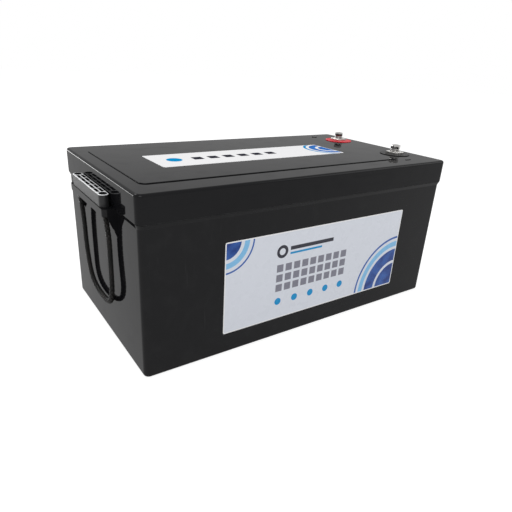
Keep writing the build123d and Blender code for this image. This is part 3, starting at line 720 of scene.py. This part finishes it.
deep_blue = front_print.cloud(60.0, 5.0).fade(0.35, 0.68).tint(label_blue, label_navy)
low_corner = (front_size.x / 2, -front_size.z / 2)
high_corner = (-front_size.x / 2, front_size.z / 2)
corner_rings = (
    (low_corner, 0.0, 0.036, deep_blue),
    (low_corner, 0.041, 0.060, deep_blue),
    (low_corner, 0.065, 0.073, label_pale),
    (low_corner, 0.078, 0.081, label_blue),
    (high_corner, 0.0, 0.022, deep_blue),
    (high_corner, 0.027, 0.034, label_pale),
    (high_corner, 0.039, 0.041, label_blue))
print_colour = label_ground
for corner, inner, outer, ink in corner_rings:
    print_colour = ring(front_sheet, corner, inner, outer).tint(print_colour, ink)

square_pitch = 0.014
square_share = 0.72
square_rows = 3
square_columns = 9
squares_middle = (-0.016, -0.002)
squares_width = square_columns * square_pitch
squares_height = square_rows * square_pitch
squares_left = squares_middle[0] - squares_width / 2
squares_foot = squares_middle[1] - squares_height / 2
squares = (block(front_sheet, squares_middle, squares_width, squares_height)
           * stripes(front_sheet[0] - squares_left, square_pitch, square_share)
           * stripes(front_sheet[1] - squares_foot, square_pitch, square_share))
print_colour = squares.tint(print_colour, label_grey)

disc_count = 5
disc_radius = 0.0050
disc_pitch = 2 * square_pitch
discs_height = -0.036
for step in range(disc_count):
    middle = (squares_middle[0] + (step - (disc_count - 1) / 2) * disc_pitch, discs_height)
    print_colour = ring(front_sheet, middle, 0.0, disc_radius).tint(print_colour, label_sky)

heading_ring = ring(front_sheet, (-0.070, 0.035), 0.0048, 0.0088)
heading_rule = block(front_sheet, (-0.020, 0.0375), 0.074, 0.0050)
heading_thin = block(front_sheet, (-0.030, 0.0305), 0.054, 0.0026)
print_colour = heading_ring.tint(print_colour, label_dark)
print_colour = heading_rule.tint(print_colour, label_dark)
print_colour = heading_thin.tint(print_colour, label_sky)

front_print.set(Base_Color=white_edge(front_sheet, front_size.x, front_size.z, print_colour),
                Roughness=front_print.cloud(60.0, 3.0).fade(0.3, 0.7, 0.24, 0.34))
front_print.bump(front_print.cloud(14.0, 1.0), 0.0004, 0.3)
front_print.wear("front_label")


# Lid label ----------------------------------------------------------------------
# Laminated vinyl on the lid's panel: white, with blue half rings at its outer end, a row
# of dark squares along it and a sky-blue disc next to those.

lid_low, lid_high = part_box("lid_label")
lid_middle = (lid_low + lid_high) / 2
lid_size = lid_high - lid_low
lid_print = Finish("lid_print", label_white, 0.28, Specular_IOR_Level=0.0)
lid_sheet = (lid_print.x - lid_middle.x, lid_print.y - lid_middle.y)
lid_blue = lid_print.cloud(90.0, 5.0).fade(0.25, 0.7).tint(shade(0.06, 0.26, 0.72), label_blue)
print_colour = label_white
for inner, outer, ink in ((0.0, 0.017, lid_blue), (0.022, 0.032, lid_blue), (0.037, 0.041, label_sky)):
    print_colour = ring(lid_sheet, (lid_size.x / 2, 0.0), inner, outer).tint(print_colour, ink)

row_middle = -0.026
row_pitch = 0.024
row_squares = 6
row_share = 0.60
row_height = 0.0145
row_width = row_squares * row_pitch
row_left = row_middle - row_width / 2
row = (block(lid_sheet, (row_middle, 0.0), row_width, row_height)
       * stripes(lid_sheet[0] - row_left, row_pitch, row_share))
print_colour = row.tint(print_colour, label_dark)
print_colour = ring(lid_sheet, (-0.120, 0.0), 0.0, 0.0105).tint(print_colour, label_sky)

lid_print.set(Base_Color=white_edge(lid_sheet, lid_size.x, lid_size.y, print_colour))
lid_print.bump(lid_print.cloud(14.0, 1.0), 0.0004, 0.3)
lid_print.wear("lid_label")


# Fixings inside -----------------------------------------------------------------
# Zinc-plated nuts and screws that hold the lugs, bars, board and tabs, and the two steel
# bands round the cells.

fixing_zinc = Finish("fixing_zinc", shade(0.55, 0.55, 0.54), 0.3, Metallic=1.0)
fixing_zinc.set(Roughness=fixing_zinc.cloud(600.0, 3.0).fade(0.3, 0.75, 0.22, 0.42))
fixing_zinc.wear("terminal_nuts", "lug_screws", "cell_nuts", "board_screws", "tab_bolts")
band_steel = Finish("band_steel", shade(0.50, 0.50, 0.50), 0.3, Metallic=1.0)
band_steel.set(Roughness=band_steel.cloud(900.0, 2.0, (0.05, 0.05, 1.0)).fade(0.3, 0.7, 0.22, 0.45))
band_steel.wear("lower_band", "upper_band")


# Foam ---------------------------------------------------------------------------
# Charcoal closed-cell foam that packs the cells on the floor, the sides and the end. Its pore
# hollows are painted darker, as painted shade.

# The darker tone is painted shade for the pore hollows.
foam_pore_shade = shade(0.010, 0.010, 0.011)
foam_light = shade(0.032, 0.032, 0.034)

packing_foam = Finish("packing_foam", foam_pore_shade, 0.9)
foam_pores = packing_foam.cells(900.0)
# The pores are painted darker than the foam round them: painted shade in the hollows.
packing_foam.set(Base_Color=foam_pores.fade(0.1, 0.6).tint(foam_pore_shade, foam_light))
packing_foam.bump(foam_pores, 0.0003, 0.6)
packing_foam.wear("floor_pad", "side_foam", "end_foam")


# Cells --------------------------------------------------------------------------
# Prismatic lithium iron phosphate cells in drawn aluminium cans wrapped in blue film,
# with white insulating sheets between them and glass-epoxy plates at both ends.

cell_count = 8
wrap_blue = shade(0.02, 0.09, 0.32)
can_bare = shade(0.66, 0.67, 0.69)
wrap_fold = 0.001
cloth_threads = 900.0

can_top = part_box("cell_sheets")[1].z
cell_wrap = Finish("cell_wrap", wrap_blue, 0.35)
bare_metal = cell_wrap.z.fade(can_top - wrap_fold, can_top) * cell_wrap.upward().fade(0.4, 0.7)
cell_wrap.set(Base_Color=bare_metal.tint(wrap_blue, can_bare),
              Metallic=bare_metal,
              Roughness=cell_wrap.cloud(120.0, 3.0).fade(0.3, 0.7, 0.28, 0.42))
cell_wrap.wear(*("cell_" + str(number) for number in range(1, cell_count + 1)))
white_sheet = Finish("white_sheet", shade(0.66, 0.66, 0.62), 0.6)
white_sheet.bump(white_sheet.cloud(800.0), 0.00004, 0.4)
white_sheet.wear("cell_sheets")
glass_epoxy = Finish("glass_epoxy", shade(0.30, 0.36, 0.16), 0.45)
cloth = ((glass_epoxy.y * cloth_threads * math.pi).sine()
         * (glass_epoxy.z * cloth_threads * math.pi).sine())
glass_epoxy.set(Base_Color=cloth.fade(-0.6, 0.6).tint(shade(0.26, 0.32, 0.14), shade(0.36, 0.42, 0.20)))
glass_epoxy.wear("left_end_plate", "right_end_plate")


# Copper bars --------------------------------------------------------------------
# Bright rolled copper: the bars between the cells, the formed bars to the terminals and
# the board, and the board's tabs.

copper_bright = shade(0.80, 0.36, 0.20)
copper_stained = shade(0.48, 0.18, 0.10)

rolled_copper = Finish("rolled_copper", copper_bright, 0.28, Metallic=1.0)
stain = rolled_copper.cloud(120.0, 4.0).fade(0.4, 0.75)
rolled_copper.set(Base_Color=stain.tint(copper_bright, copper_stained),
                  Roughness=rolled_copper.cloud(900.0, 2.0, (0.05, 1.0, 1.0)).fade(0.3, 0.7, 0.20, 0.40))
rolled_copper.wear("series_bars", "negative_bar", "positive_bar", "load_bar", "board_tabs")


# Management board ---------------------------------------------------------------
# Green circuit board on brass standoffs, with power transistors under a finned aluminium
# sink, a radio module and a white plug.

solder_mask = Finish("solder_mask", shade(0.010, 0.12, 0.045), 0.3)
tracks = solder_mask.cells(170.0, (1.0, 1.0, 0.25)).fade(0.30, 0.34)
solder_mask.set(Base_Color=tracks.tint(shade(0.016, 0.17, 0.06), shade(0.008, 0.10, 0.035)))
solder_mask.wear("board")
bright_brass = Finish("bright_brass", shade(0.70, 0.48, 0.16), 0.25, Metallic=1.0)
bright_brass.set(Roughness=bright_brass.cloud(700.0).fade(0.3, 0.7, 0.18, 0.34))
bright_brass.wear("standoffs")
chip_mould = Finish("chip_mould", shade(0.018, 0.018, 0.019), 0.55)
chip_mould.bump(chip_mould.cloud(2500.0), 0.00003, 0.5)
chip_mould.wear("transistors", "radio_module")
sink_metal = Finish("sink_metal", shade(0.66, 0.67, 0.69), 0.35, Metallic=1.0)
sink_metal.set(Roughness=sink_metal.cloud(800.0, 2.0, (1.0, 1.0, 0.04)).fade(0.3, 0.7, 0.28, 0.48))
sink_metal.wear("heat_sink")
plug_nylon = Finish("plug_nylon", shade(0.62, 0.60, 0.52), 0.45)
plug_nylon.set(Base_Color=plug_nylon.cloud(250.0).tint(shade(0.64, 0.62, 0.54), shade(0.58, 0.56, 0.48)))
plug_nylon.wear("sense_plug")


# Cables -------------------------------------------------------------------------
# The pack cable in smooth black rubber, and the sense harness in a woven black sleeve.

cable_rubber = Finish("cable_rubber", shade(0.010, 0.010, 0.010), 0.5)
cable_rubber.set(Roughness=cable_rubber.cloud(200.0, 3.0).fade(0.3, 0.7, 0.42, 0.60))
cable_rubber.wear("pack_cable")
weave_threads = 2600.0
woven_sleeve = Finish("woven_sleeve", shade(0.012, 0.012, 0.013), 0.6)
sleeve_weave = ((woven_sleeve.x * weave_threads).sine()
                * ((woven_sleeve.y + woven_sleeve.z) * weave_threads).sine())
woven_sleeve.bump(sleeve_weave, 0.0002, 0.5)
woven_sleeve.wear("sense_harness")


# Floor, backdrop and lights -----------------------------------------------------
# A plain white studio floor that runs into a white surround. Three large soft lamps hang
# above it, and a low strip lamp behind the case lights its rims.

floor_half = 8.0
floor_height = -0.0002
floor_glow = 0.70
floor_paint = shade(0.55, 0.55, 0.55)
surround_white = shade(1.0, 1.0, 1.0)
surround_seen = 1.0
surround_light = 0.55


def seen_directly(tree):
    """1 for what the camera sees, straight, mirrored or through glass; 0 for light on the case."""
    path = tree.nodes.new("ShaderNodeLightPath")
    seen = Value(tree, path.outputs["Is Camera Ray"])
    for kind in ("Is Glossy Ray", "Is Transmission Ray"):
        seen = seen.most(Value(tree, path.outputs[kind]))
    return seen


bpy.ops.mesh.primitive_plane_add(size=2 * floor_half, location=(0.0, 0.0, floor_height))
floor = bpy.context.object
floor.name = "floor"

floor_material = bpy.data.materials.new("studio_floor")
floor_material.use_nodes = True
floor_tree = floor_material.node_tree
floor_tree.nodes.clear()
floor_seen = seen_directly(floor_tree)
paint = floor_seen.of(floor_seen.node("ShaderNodeBsdfDiffuse", None, {"Color": floor_paint}))
glow = floor_seen.of(floor_seen.node("ShaderNodeEmission", None, {
    "Color": surround_white, "Strength": floor_glow}))
lit_paint = floor_seen.of(floor_seen.node("ShaderNodeAddShader", None, {0: paint, 1: glow}))
floor_surface = floor_seen.of(floor_seen.node("ShaderNodeMixShader", None, {
    0: floor_seen, 1: paint, 2: lit_paint}))
floor_seen.node("ShaderNodeOutputMaterial", None, {"Surface": floor_surface})
floor.data.materials.append(floor_material)

world = bpy.data.worlds.new("studio")
bpy.context.scene.world = world
world.use_nodes = True
world_tree = world.node_tree
world_tree.nodes.clear()
sky_seen = seen_directly(world_tree)
dim, bright = (sky_seen.of(sky_seen.node("ShaderNodeBackground", None, {
    "Color": surround_white, "Strength": level})) for level in (surround_light, surround_seen))
surround = sky_seen.of(sky_seen.node("ShaderNodeMixShader", None, {0: sky_seen, 1: dim, 2: bright}))
sky_seen.node("ShaderNodeOutputWorld", None, {"Surface": surround})


def soft_lamp(name, place, target, width, height, power):
    """A large flat lamp that faces a point of the case."""
    data = bpy.data.lights.new(name, "AREA")
    data.shape = "RECTANGLE"
    data.size = width
    data.size_y = height
    data.energy = power
    lamp = bpy.data.objects.new(name, data)
    bpy.context.scene.collection.objects.link(lamp)
    lamp.location = place
    lamp.rotation_mode = "QUATERNION"
    lamp.rotation_quaternion = (Vector(target) - Vector(place)).to_track_quat("-Z", "Y")


case_middle = (0.0, 0.0, cad_box[1].z / 2)
case_left = (-0.2, 0.0, cad_box[1].z / 2)
soft_lamp("key_lamp", (-1.2, -1.6, 1.9), case_middle, 1.4, 1.4, 22.0)
soft_lamp("fill_lamp", (1.9, -1.2, 1.3), case_middle, 1.4, 1.4, 10.0)
soft_lamp("back_lamp", (-0.8, 1.9, 1.9), case_middle, 1.1, 0.8, 15.0)
soft_lamp("edge_lamp", (-0.8, 2.1, 0.10), case_left, 1.3, 0.20, 11.0)

bpy.context.scene.view_settings.view_transform = "Standard"
